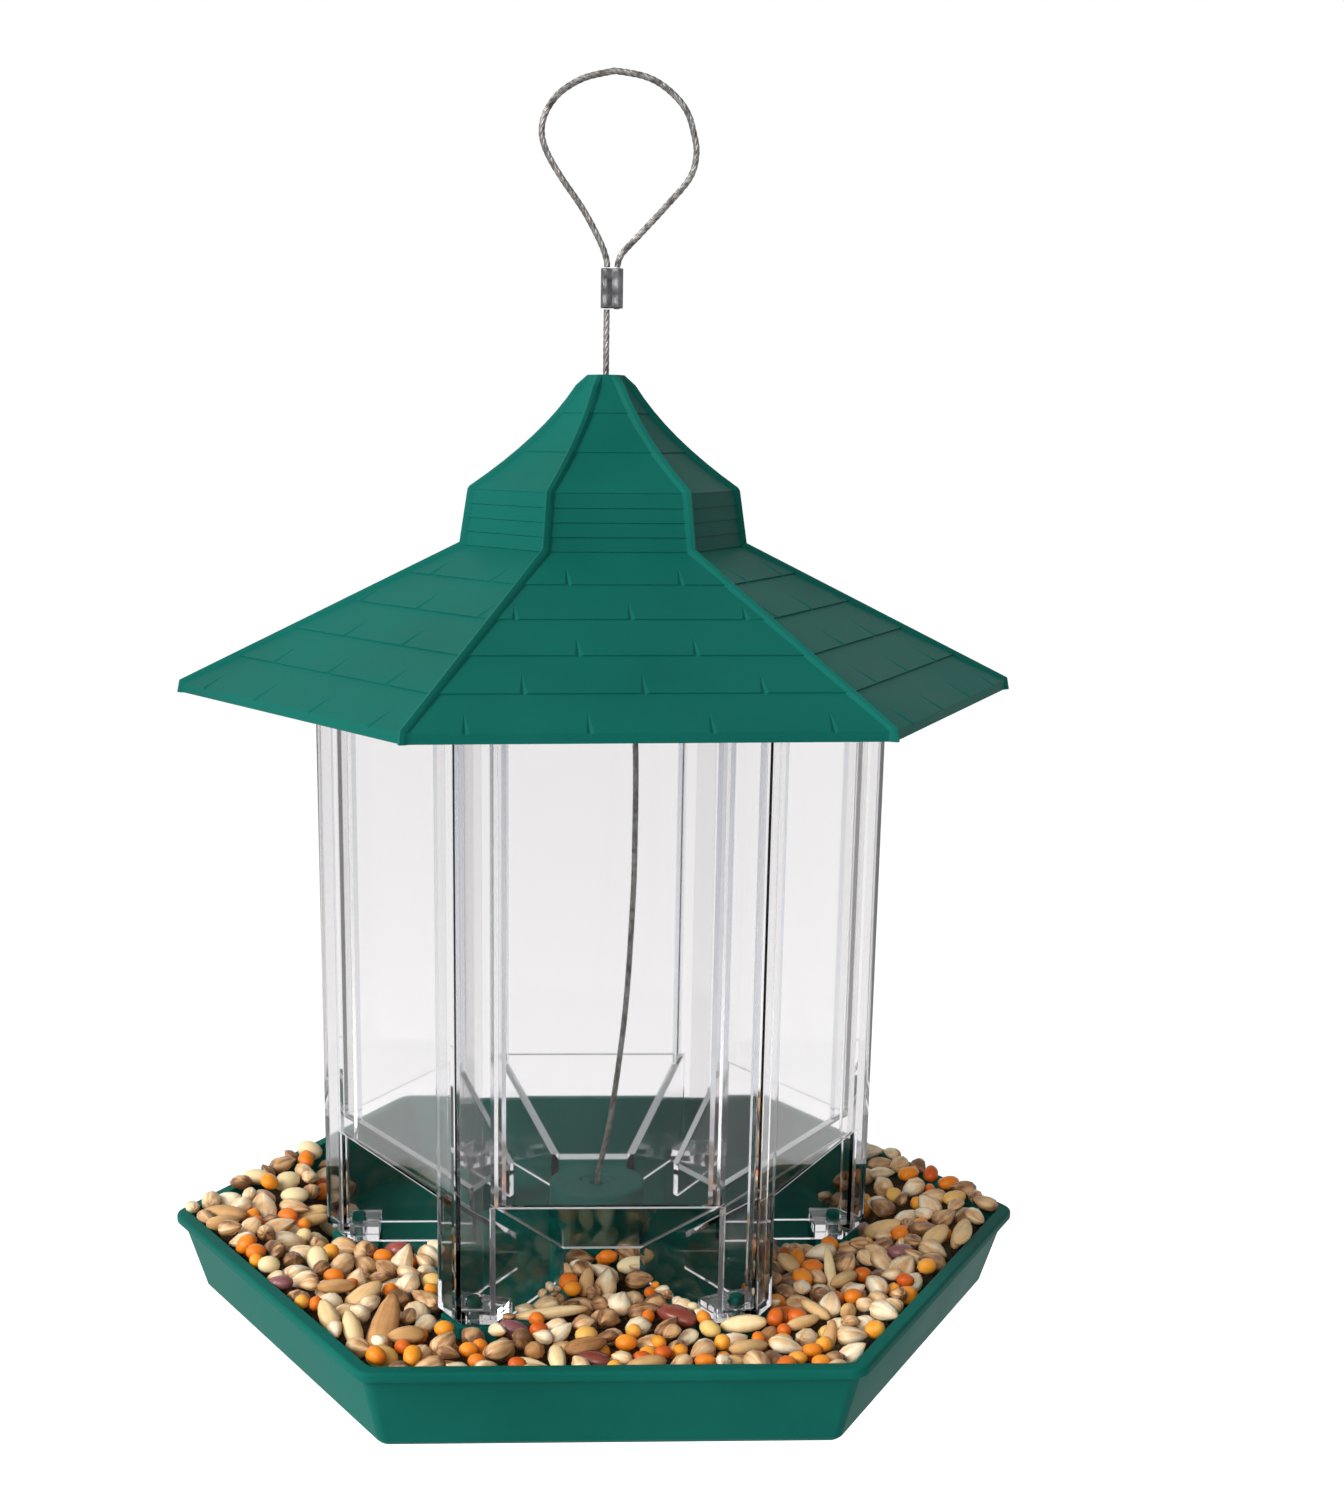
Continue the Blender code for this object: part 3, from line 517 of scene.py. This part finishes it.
# What lies where it is seen: x, y, turn and lean in degrees, length and width, all lengths in mm.
seen_seeds = {
    "husk": [
        (-50, -25, 70, 35, 11.1, 6.5, 0.85), (-11, -68, 35, 25, 7.0, 4.6, 0.95),
        (54, -54, 75, 35, 7.0, 6.0, 0.80), (80, 26, 10, 0, 7.5, 4.2, 0.90),
        (-88, 5, 105, 35, 10.1, 7.4, 0.82), (1, -34, 80, 35, 9.4, 5.9, 0.55),
        (56, -73, 0, 0, 7.2, 6.7, 0.72), (9, -54, 15, 5, 7.9, 5.0, 0.22),
        (-40, -50, 80, 35, 6.3, 4.6, 0.25), (62, -28, 55, 30, 7.3, 5.8, 0.30),
        (-86, 32, 40, 5, 8.0, 6.1, 0.30), (83, 10, 55, 30, 4.8, 3.6, 0.00),
        (62, -57, 0, 0, 5.0, 4.3, 0.75), (-56, -52, 50, 5, 6.2, 4.6, 0.70),
    ],
    "grain": [
        (-58, -47, 35, 20, 11.3, 5.8, 0.70), (-8, -32, 110, 35, 8.0, 4.0, 0.60),
        (-4, -37, 75, 35, 8.4, 4.0, 0.50), (46, -64, 25, 5, 9.4, 3.6, 0.60),
        (50, -57, 145, 20, 8.6, 3.5, 0.65), (51, -73, 70, 35, 8.8, 3.5, 0.40),
        (71, -7, 60, 30, 12.6, 4.8, 0.70), (86, -20, 35, 25, 9.2, 5.6, 0.70),
        (-76, 5, 25, 5, 11.7, 3.7, 0.45), (-65, -62, 115, 30, 10.3, 4.9, 0.80),
        (-59, -68, 110, 35, 10.2, 4.6, 0.85), (-52, -67, 75, 35, 20.1, 7.2, 0.25),
        (-97, -4, 165, 0, 12.5, 6.2, 0.30), (-13, -56, 15, 0, 19.0, 3.6, 0.80),
        (57, -33, 90, 35, 15.0, 3.0, 0.95),
    ],
    "pea": [
        (-42, -36, 0, 0, 5.4, 5.0, 0.30), (8, -26, 15, 5, 8.3, 6.1, 0.95),
        (-96, 24, 0, 0, 7.9, 5.6, 0.80), (-81, 15, 0, 0, 7.8, 6.7, 0.90),
        (-71, -26, 100, 35, 7.5, 5.6, 0.90), (-82, -35, 0, 0, 5.6, 5.4, 0.85),
        (-5, -69, 0, 0, 5.5, 5.1, 0.10), (96, 5, 15, 5, 6.7, 4.8, 0.20),
        (40, -74, 0, 0, 5.0, 4.6, 0.05), (24, -66, 130, 5, 5.8, 4.6, 0.35),
    ],
    "millet": [
        (-66, -37, 0, 0, 5.2, 4.7, 0.40), (-55, -21, 0, 0, 5.1, 4.6, 0.45),
        (-38, -65, 0, 0, 4.9, 4.6, 0.70), (-32, -78, 0, 0, 4.6, 4.3, 0.60),
        (-30, -85, 0, 0, 4.3, 4.0, 0.35), (4, -74, 0, 0, 5.3, 4.8, 0.60),
        (2, -21, 0, 0, 5.1, 4.4, 0.40), (87, 23, 20, 5, 6.4, 4.8, 0.60),
        (97, 15, 15, 5, 6.2, 4.6, 0.45), (79, -11, 0, 0, 5.8, 5.1, 0.40),
        (50, -24, 80, 35, 6.4, 4.2, 0.50), (53, -30, 0, 0, 5.9, 5.4, 0.35),
        (60, -51, 0, 0, 4.9, 4.8, 0.40), (46, -80, 0, 0, 4.6, 3.9, 0.50),
        (42, -85, 0, 0, 4.5, 3.8, 0.80), (47, -87, 0, 0, 4.5, 3.8, 0.60),
        (21, -86, 0, 0, 4.9, 3.9, 0.40), (-80, 36, 95, 35, 5.8, 4.8, 0.35),
        (-75, 28, 65, 30, 5.5, 4.7, 0.30), (-86, -28, 0, 0, 5.2, 5.0, 0.35),
        (-16, -66, 0, 0, 4.6, 4.2, 0.05), (7, -84, 0, 0, 4.3, 3.8, 0.10),
        (12, -81, 0, 0, 4.3, 3.8, 0.05), (14, -25, 65, 35, 4.6, 3.4, 0.20),
        (93, 22, 75, 35, 5.3, 4.3, 0.05), (40, -60, 75, 35, 5.2, 4.2, 0.15),
        (-21, -87, 0, 0, 4.3, 3.8, 0.10),
    ],
    "bean": [
        (17, -58, 145, 5, 10.9, 6.9, 0.20), (-4, -85, 160, 0, 8.6, 5.2, 0.10),
        (76, -26, 15, 0, 7.3, 4.9, 0.90), (-78, -45, 0, 0, 6.2, 4.4, 0.80),
    ],
}
# Each kind's share of the poured seed, and its usual length, width and thickness.
seed_kinds = {
    "husk": (0.815, 0.0077, 0.0060, 0.0047), "grain": (0.07, 0.0105, 0.0046, 0.0040),
    "pea": (0.05, 0.0068, 0.0060, 0.0054), "millet": (0.050, 0.0053, 0.0049, 0.0046),
    "bean": (0.015, 0.0090, 0.0060, 0.0053),
}


def tray_floor(xs, ys):
    """The height of the empty tray under each cell, and infinity where a wall or a foot stands."""
    hard = bmesh.new()
    for node in ["tray"] + [f"clear_panel_{number}" for number in range(1, 7)]:
        hard.from_mesh(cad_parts[node].data)
    tree = BVHTree.FromBMesh(hard)
    hard.free()
    floor_map = numpy.full((len(xs), len(ys)), numpy.inf)
    for i, x in enumerate(xs):
        for j, y in enumerate(ys):
            if wall_distance(x, y) > wall_apothem or math.hypot(x, y) < hub_clear:
                continue
            hit = tree.ray_cast(Vector((x, y, ray_start)), Vector((0, 0, -1)))[0]
            if hit and (hit.z < seat_level or wall_distance(x, y) > wall_reach):
                floor_map[i, j] = hit.z
    spread = floor_map.copy()
    for shift in ((1, 0), (-1, 0), (0, 1), (0, -1)):
        spread = numpy.maximum(spread, numpy.roll(floor_map, shift, (0, 1)))
    return spread


def wall_distance(x, y):
    """How far out a place is, measured square to the nearest of the six walls."""
    return max(abs(y), abs(x * cos_30 + y / 2), abs(x * cos_30 - y / 2))


def eased(value, low, high):
    """A smooth step from nought at low to one at high."""
    share = min(max((value - low) / (high - low), 0), 1)
    return share * share * (3 - 2 * share)


def heap_level(x, y):
    """The height of the heaped seed: up at the walls, lower at the feet and in the ports, and
    falling steeply where it ends."""
    out = wall_distance(x, y)
    level = port_level + (foot_level - port_level) * eased(out, *foot_ramp)
    level += (rim_level - foot_level) * eased(out, *rim_ramp)
    level -= front_drop * eased(out, *rim_ramp) * eased(-y, *front_ramp)
    side = bank_side + bank_flare * max(y - bank_flare_start, 0)
    bank = math.hypot(port_slope * max(hopper_edge - out, 0),
                      heap_slope * max(min(y + bank_back, side - abs(x)), 0))
    half = front_port_half + front_port_flare * max(-flare_start - y, 0)
    front_port = math.hypot(port_slope * max(abs(x - front_port_middle) - half, 0),
                            heap_slope * max(y + front_port_back, 0))
    beside = max(side_port_inner - abs(x), abs(x) - side_port_outer, 0)
    side_port = math.hypot(port_slope * beside, heap_slope * max(y + side_port_back, 0))
    return level - min(bank, front_port, side_port)


steps_x, steps_y = int(seed_span_x / cell), int(seed_span_y / cell)
xs = [number * cell for number in range(-steps_x, steps_x + 1)]
ys = [number * cell for number in range(-steps_y, steps_y + 1)]
empty_tray = tray_floor(xs, ys)
level = numpy.array([[heap_level(x, y) for y in ys] for x in xs])
heap = numpy.maximum(empty_tray, level - bed_depth)
distances = numpy.array([[wall_distance(x, y) for y in ys] for x in xs])
inside_brim = distances < brim_apothem
on_seat = (distances < wall_reach) & numpy.isfinite(heap) & (empty_tray > seat_level - 0.001)
laid = {kind: [] for kind in seed_kinds}


def seed_turn(yaw, lean, roll):
    """How a seed lies: its long axis turned and leaning, then rolled."""
    swing = Matrix.Rotation(yaw, 3, "Z") @ Matrix.Rotation(-lean, 3, "Y")
    return swing @ Matrix.Rotation(roll, 3, "X")


def seed_faces(turn, radii):
    """The under and upper side of a lying seed over the cells round its middle."""
    reach = int(max(radii) / cell) + 1
    away = numpy.arange(-reach, reach + 1) * cell
    dx, dy = numpy.meshgrid(away, away, indexing="ij")
    axes = numpy.array(turn)
    form = axes @ numpy.diag([radius ** -2 for radius in radii]) @ axes.T
    tilt = form[0, 2] * dx + form[1, 2] * dy
    flat = form[0, 0] * dx * dx + 2 * form[0, 1] * dx * dy + form[1, 1] * dy * dy - 1
    inside = tilt * tilt - form[2, 2] * flat
    root = numpy.sqrt(numpy.maximum(inside, 0))
    under = numpy.where(inside > 0, (-root - tilt) / form[2, 2], numpy.inf)
    upper = numpy.where(inside > 0, (root - tilt) / form[2, 2], -numpy.inf)
    return reach, under, upper


def around(table, i, j, reach):
    """The part of a table of cells within reach of one cell."""
    return table[i - reach:i + reach + 1, j - reach:j + reach + 1]


def resting(i, j, reach, under):
    """The height at which a seed dropped over a cell comes to rest."""
    ground = around(heap, i, j, reach)
    if ground.shape != under.shape:
        return numpy.inf
    covered = numpy.isfinite(under)
    return float(numpy.max(ground[covered] - under[covered]))


def lay(kind, i, j, z, turn, radii, shade, faces):
    """Lays a seed down and raises the heap there."""
    reach, _, upper = faces
    place = Matrix.LocRotScale(Vector((xs[i], ys[j], z)), turn.to_quaternion(), Vector(radii))
    laid[kind].append((place, shade))
    ground = around(heap, i, j, reach)
    numpy.maximum(ground, z + upper, out=ground)


def cell_of(x, y):
    """The cell of the tables that holds a place."""
    return round(x / cell) + len(xs) // 2, round(y / cell) + len(ys) // 2


nearby = range(-near_reach, near_reach + 1)
near_cells = sorted(((a, b) for a in nearby for b in nearby),
                    key=lambda shift: shift[0] ** 2 + shift[1] ** 2)
for kind, rows in seen_seeds.items():
    for x, y, yaw, lean, long, wide, shade in rows:
        thick = min(wide, seed_thickest) * seed_flatness
        radii = (long / 2000, wide / 2000, thick / 2000)
        turn = seed_turn(math.radians(yaw), math.radians(lean), 0)
        faces = seed_faces(turn, radii)
        middle_i, middle_j = cell_of(x / 1000, y / 1000)
        for a, b in near_cells:
            i, j = middle_i + a, middle_j + b
            deep = level[i, j] - empty_tray[i, j] > seed_depth * radii[2]
            if deep and math.isfinite(resting(i, j, faces[0], faces[1])):
                lay(kind, i, j, level[i, j] - radii[2] / 2, turn, radii, shade, faces)
                break


def widened(mask, steps):
    """A mask of cells grown by this many cells on every side."""
    for _ in range(steps):
        mask = (mask | numpy.roll(mask, 1, 0) | numpy.roll(mask, -1, 0)
                | numpy.roll(mask, 1, 1) | numpy.roll(mask, -1, 1))
    return mask


def pour(kinds, size_share, proud, most_misses, where=True, tries=12):
    """Drops seeds one by one, each where it lies lowest, till none goes in that low any more."""
    names = list(kinds)
    shares = [seed_kinds[name][0] for name in names]
    misses, drops = 0, 0
    while misses < most_misses:
        kind = seed_random.choices(names, shares)[0]
        radii = [size * size_share * seed_random.uniform(*size_spread) / 2
                 for size in seed_kinds[kind][1:]]
        if drops % look_again == 0:
            shallow = ~(level - heap > radii[2] * seed_room)
            room = numpy.flatnonzero(~widened(shallow, 1) & where & inside_brim)
        drops += 1
        found = (proud, None)
        for _ in range(tries if len(room) else 0):
            i, j = divmod(int(room[seed_random.randrange(len(room))]), len(ys))
            turn = seed_turn(seed_random.uniform(0, 2 * math.pi),
                             seed_random.gauss(0, lean_spread),
                             seed_random.gauss(0, roll_spread))
            faces = seed_faces(turn, radii)
            z = resting(i, j, faces[0], faces[1])
            top = z + float(faces[2].max()) - level[i, j]
            if top < found[0]:
                found = (top, (i, j, z, turn, radii, seed_random.random(), faces))
        if found[1]:
            lay(kind, *found[1])
            misses = 0
        else:
            misses += 1


# Whole seeds come first, then small ones in the gaps, and the smallest round the seats.
seat_surround = widened(on_seat, round(seat_reach / cell))
pour(("husk", "grain", "pea", "millet", "bean"), size_share=1.0, proud=0.0022, most_misses=90)
pour(("husk", "pea", "millet"), size_share=0.75, proud=0.0014, most_misses=90)
pour(("husk", "pea", "millet"), size_share=0.45, proud=0.0014, most_misses=40,
     where=seat_surround)


def bed_heights(vert):
    """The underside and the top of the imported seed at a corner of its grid."""
    place = cell_of(vert.co.x, vert.co.y)
    rough = seed_random.uniform(*bed_roughness)
    return empty_tray[place] + bed_gap, level[place] - bed_depth + rough


bm = bmesh.new()
spread = Matrix.Diagonal((bed_cells_x * bed_cell, bed_cells_y * bed_cell, 1, 1))
bmesh.ops.create_grid(bm, x_segments=2 * bed_cells_x, y_segments=2 * bed_cells_y, size=1,
                      matrix=spread)
heights = {vert: bed_heights(vert) for vert in bm.verts}
thin = [vert for vert, (ground, top) in heights.items() if top < ground + bed_least]
bmesh.ops.delete(bm, geom=thin, context="VERTS")
bmesh.ops.delete(bm, geom=[vert for vert in bm.verts if not vert.link_faces], context="VERTS")
for vert in bm.verts:
    vert.co.z = heights[vert][0]
foot = bm.verts[:]
raised = bmesh.ops.extrude_face_region(bm, geom=bm.faces[:])["geom"]
tops = {tuple(vert.co.xy): heights[vert][1] for vert in foot}
for part in raised:
    if isinstance(part, bmesh.types.BMVert):
        part.co.z = tops[tuple(part.co.xy)]
bmesh.ops.recalc_face_normals(bm, faces=bm.faces)
# The bed's finish: dust, coloured dark as painted shade where it shows between the seeds.
seed_dust_and_shade = grained(
    "seed_dust_and_shade", {"Specular IOR Level": 0.1},
    {"Patches": 330, "Grain": 1300, "Squeeze": 1, "Relief": 0.8, "Depth": 0.001,
     "Rough Low": 0.8, "Rough High": 0.9},
    (0.3, dust_and_shade_dark), (0.7, dust_and_shade_light))
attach(link_mesh(bm, "seed_bed", seed_dust_and_shade), "feeder")


def seed_blank(bm, kind):
    """One seed from middle to tip a unit long, lengthwise along X, in a few dozen faces."""
    lengthwise = Matrix.Rotation(math.pi / 2, 4, "Y")
    verts = bmesh.ops.create_uvsphere(bm, u_segments=9, v_segments=7, radius=1, calc_uvs=True,
                                      matrix=lengthwise)["verts"]
    tip = bm.verts.layers.float["tip"]
    for vert in verts:
        x, y, z = vert.co
        vert[tip] = x
        if kind == "husk":  # keeled all round, blunt at one end and drawn out at the other
            keel = 1.08 if abs(z) < 0.05 else 0.92
            taper = 1 - 0.26 * x - 0.30 * max(x, 0) ** 4
            vert.co = (x + 0.16 * max(x, 0) ** 6, y * keel * taper, z * taper)
        elif kind == "grain":  # creased along the top
            crease = 0.76 if z > 0.3 and abs(y) < 0.05 else 1
            vert.co = (x, y * (1 - 0.16 * x), z * crease)
        elif kind == "millet":
            vert.co = (x, y * (1 - 0.10 * x), z)
        elif kind == "bean":  # bent sideways
            vert.co = (x, y + 0.22 * x * x - 0.11, z)
    return bm.verts[:] + bm.edges[:] + bm.faces[:]


def seed_mesh(kind, finish, unevenness):
    """All the seeds of one kind as one piece, each a little uneven."""
    bm = bmesh.new()
    bm.loops.layers.uv.new("skin")
    bm.verts.layers.float.new("tip")
    shade = bm.verts.layers.float.new("shade")
    blank = seed_blank(bm, kind)
    for place, value in laid[kind]:
        made = bmesh.ops.duplicate(bm, geom=blank)["geom"]
        verts = [part for part in made if isinstance(part, bmesh.types.BMVert)]
        for vert in verts:
            vert[shade] = value
            vert.co *= 1 - unevenness * seed_random.random()
        bmesh.ops.transform(bm, matrix=place, verts=verts)
    bmesh.ops.delete(bm, geom=[part for part in blank if isinstance(part, bmesh.types.BMVert)],
                     context="VERTS")
    return link_mesh(bm, f"seed_{kind}", finish)


def seed_skin():
    """Long veins, blotches and dark tips: a tone for a seed's ramp, and its relief's height."""
    group, given, results = new_group(
        "seed_skin", ("Shade", "Tip", "Veins", "Vein Depth", "Blotch Depth", "Tip Depth"),
        (("Tone", "NodeSocketFloat"), ("Height", "NodeSocketFloat")))
    skin = wired(group, "UVMap", uv_map="skin").outputs["UV"]
    around_it = wired(group, "CombineXYZ", {"X": given["Veins"], "Y": 1.3})
    drawn_out = wired(group, "VectorMath", {0: skin, 1: around_it.outputs[0]},
                      operation="MULTIPLY")
    each = wired(group, "Math", {0: given["Shade"], 1: 70.0}, operation="MULTIPLY")
    veins = wired(group, "TexNoise", {"Vector": drawn_out.outputs[0], "W": each.outputs[0],
                                      "Scale": 1.0, "Detail": 2}, noise_dimensions="4D")
    place = wired(group, "TexCoord").outputs["Object"]
    blotch = wired(group, "TexNoise", {"Vector": place, "Scale": 420, "Detail": 3})
    tone = given["Shade"]
    for marks, depth in ((veins, "Vein Depth"), (blotch, "Blotch Depth")):
        middle = wired(group, "Math", {0: marks.outputs["Fac"], 1: 0.5}, operation="SUBTRACT")
        tone = wired(group, "Math", {0: middle.outputs[0], 1: given[depth], 2: tone},
                     operation="MULTIPLY_ADD").outputs[0]
    end = wired(group, "Math", {0: given["Tip"], 1: 6.0}, operation="POWER")
    worn = wired(group, "Math", {0: end.outputs[0], 1: given["Tip Depth"]}, operation="MULTIPLY")
    tone = wired(group, "Math", {0: tone, 1: worn.outputs[0]}, operation="SUBTRACT")
    group.links.new(tone.outputs[0], results["Tone"])
    group.links.new(veins.outputs["Fac"], results["Height"])
    return group


skin_group = seed_skin()


def seed_finish(kind, values, marks, relief, *stops):
    """A kind's own colours and gloss round the shared skin."""
    made, tree, shader = finish_of(f"{kind}_skin", values)
    skin = wired(tree, "Group", {}, node_tree=skin_group)
    for attribute, socket in (("shade", "Shade"), ("tip", "Tip")):
        read = wired(tree, "Attribute", attribute_name=attribute)
        tree.links.new(read.outputs["Fac"], skin.inputs[socket])
    for socket, value in marks.items():
        skin.inputs[socket].default_value = value
    tone = ramp(tree, skin.outputs["Tone"], *stops)
    bump = wired(tree, "Bump", {"Height": skin.outputs["Height"], "Strength": relief,
                                "Distance": 0.0006})
    tree.links.new(tone.outputs["Color"], shader.inputs["Base Color"])
    tree.links.new(bump.outputs["Normal"], shader.inputs["Normal"])
    return made


seed_finishes = {
    "husk": seed_finish(
        "husk", {"Roughness": 0.42, "Specular IOR Level": 0.4},
        {"Veins": 7.0, "Vein Depth": 1.9, "Blotch Depth": 0.6, "Tip Depth": 0.35}, 1.0,
        (0.0, (0.17, 0.075, 0.028, 1)), (0.22, (0.42, 0.215, 0.090, 1)),
        (0.45, (0.66, 0.39, 0.18, 1)), (0.7, (0.80, 0.56, 0.31, 1)), (1.0, (0.92, 0.80, 0.58, 1))),
    "grain": seed_finish(
        "grain", {"Roughness": 0.5, "Specular IOR Level": 0.2},
        {"Veins": 9.0, "Vein Depth": 0.6, "Blotch Depth": 0.3, "Tip Depth": 0.3}, 0.4,
        (0.0, (0.30, 0.13, 0.045, 1)), (0.3, (0.58, 0.31, 0.12, 1)),
        (0.7, (0.76, 0.51, 0.24, 1)), (1.0, (0.88, 0.72, 0.42, 1))),
    "pea": seed_finish(
        "pea", {"Roughness": 0.42, "Specular IOR Level": 0.25},
        {"Veins": 5.0, "Vein Depth": 0.3, "Blotch Depth": 0.3, "Tip Depth": 0.15}, 0.15,
        (0.0, (0.78, 0.42, 0.08, 1)), (0.4, (0.80, 0.56, 0.20, 1)), (1.0, (0.86, 0.71, 0.44, 1))),
    "millet": seed_finish(
        "millet", {"Roughness": 0.36, "Specular IOR Level": 0.25},
        {"Veins": 5.0, "Vein Depth": 0.4, "Blotch Depth": 0.35, "Tip Depth": 0.25}, 0.15,
        (0.0, (0.58, 0.090, 0.008, 1)), (0.4, (0.82, 0.21, 0.012, 1)),
        (0.7, (0.90, 0.32, 0.020, 1)), (1.0, (0.92, 0.46, 0.075, 1))),
    "bean": seed_finish(
        "bean", {"Roughness": 0.25, "Specular IOR Level": 0.3},
        {"Veins": 4.0, "Vein Depth": 0.3, "Blotch Depth": 0.2, "Tip Depth": 0.2}, 0.1,
        (0.0, (0.15, 0.030, 0.018, 1)), (0.4, (0.30, 0.070, 0.042, 1)),
        (0.8, (0.24, 0.085, 0.095, 1)), (1.0, (0.40, 0.17, 0.16, 1))),
}
for kind, finish in seed_finishes.items():
    seeds = seed_mesh(kind, finish, husk_unevenness if kind == "husk" else seed_unevenness)
    seeds.visible_glossy = False  # the clear walls hardly mirror it
    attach(seeds, "feeder")

# The studio: a white room that is dimmer on the right, a pale floor well below the feeder, and two
# soft lamps, a strong one on the left and a weaker one in front.
floor_level, floor_radius, floor_glow = -0.75, 8, 0.68
fill_left, fill_right = 0.59, 0.08
feeder_middle = Vector((0, 0, -0.18))


def lamp(name, place, size, power):
    """A square soft lamp that is aimed at the feeder."""
    data = bpy.data.lights.new(name, "AREA")
    data.size = size
    data.energy = power
    made = bpy.data.objects.new(name, data)
    made.location = place
    made.rotation_euler = (feeder_middle - Vector(place)).to_track_quat("-Z", "Y").to_euler()
    scene.collection.objects.link(made)


lamp("left_lamp", (-1.3, -0.6, 0.65), size=0.6, power=22)
lamp("front_lamp", (-0.55, -1.5, 0.55), size=0.8, power=15)


def white_to_viewer(tree):
    """One where a surface is looked at straight, in a reflection or through clear plastic."""
    path = wired(tree, "LightPath")
    looked_at, mirrored, through = (path.outputs[f"Is {kind} Ray"]
                                    for kind in ("Camera", "Glossy", "Transmission"))
    seen = wired(tree, "Math", {0: looked_at, 1: mirrored}, operation="ADD")
    return wired(tree, "Math", {0: seen.outputs[0], 1: through}, operation="ADD", use_clamp=True)


world = bpy.data.worlds.new("white_room")
world.use_nodes = True
scene.world = world
tree = world.node_tree
tree.nodes.clear()
seen = white_to_viewer(tree)
across = wired(tree, "SeparateXYZ", {0: wired(tree, "TexCoord").outputs["Generated"]})
fill = wired(tree, "MapRange", {"Value": across.outputs["X"], "From Min": -1, "From Max": 1,
                                "To Min": fill_left, "To Max": fill_right})
dim = wired(tree, "Background", {"Color": (1, 1, 1, 1), "Strength": fill.outputs["Result"]})
white = wired(tree, "Background", {"Color": (1, 1, 1, 1), "Strength": 1.0})
both = wired(tree, "MixShader", {0: seen.outputs[0], 1: dim.outputs[0], 2: white.outputs[0]})
wired(tree, "OutputWorld", {"Surface": both.outputs[0]})

bm = bmesh.new()
bmesh.ops.create_circle(bm, cap_ends=True, segments=64, radius=floor_radius,
                        matrix=Matrix.Translation((0, 0, floor_level)))
pale_floor, tree, shader = finish_of(
    "pale_floor", {"Base Color": (0.9, 0.9, 0.9, 1), "Roughness": 0.9})
seen = white_to_viewer(tree)
tree.links.new(seen.outputs[0], shader.inputs["Emission Strength"])
shader.inputs["Emission Color"].default_value = (floor_glow, floor_glow, floor_glow, 1)
floor = link_mesh(bm, "floor", pale_floor)
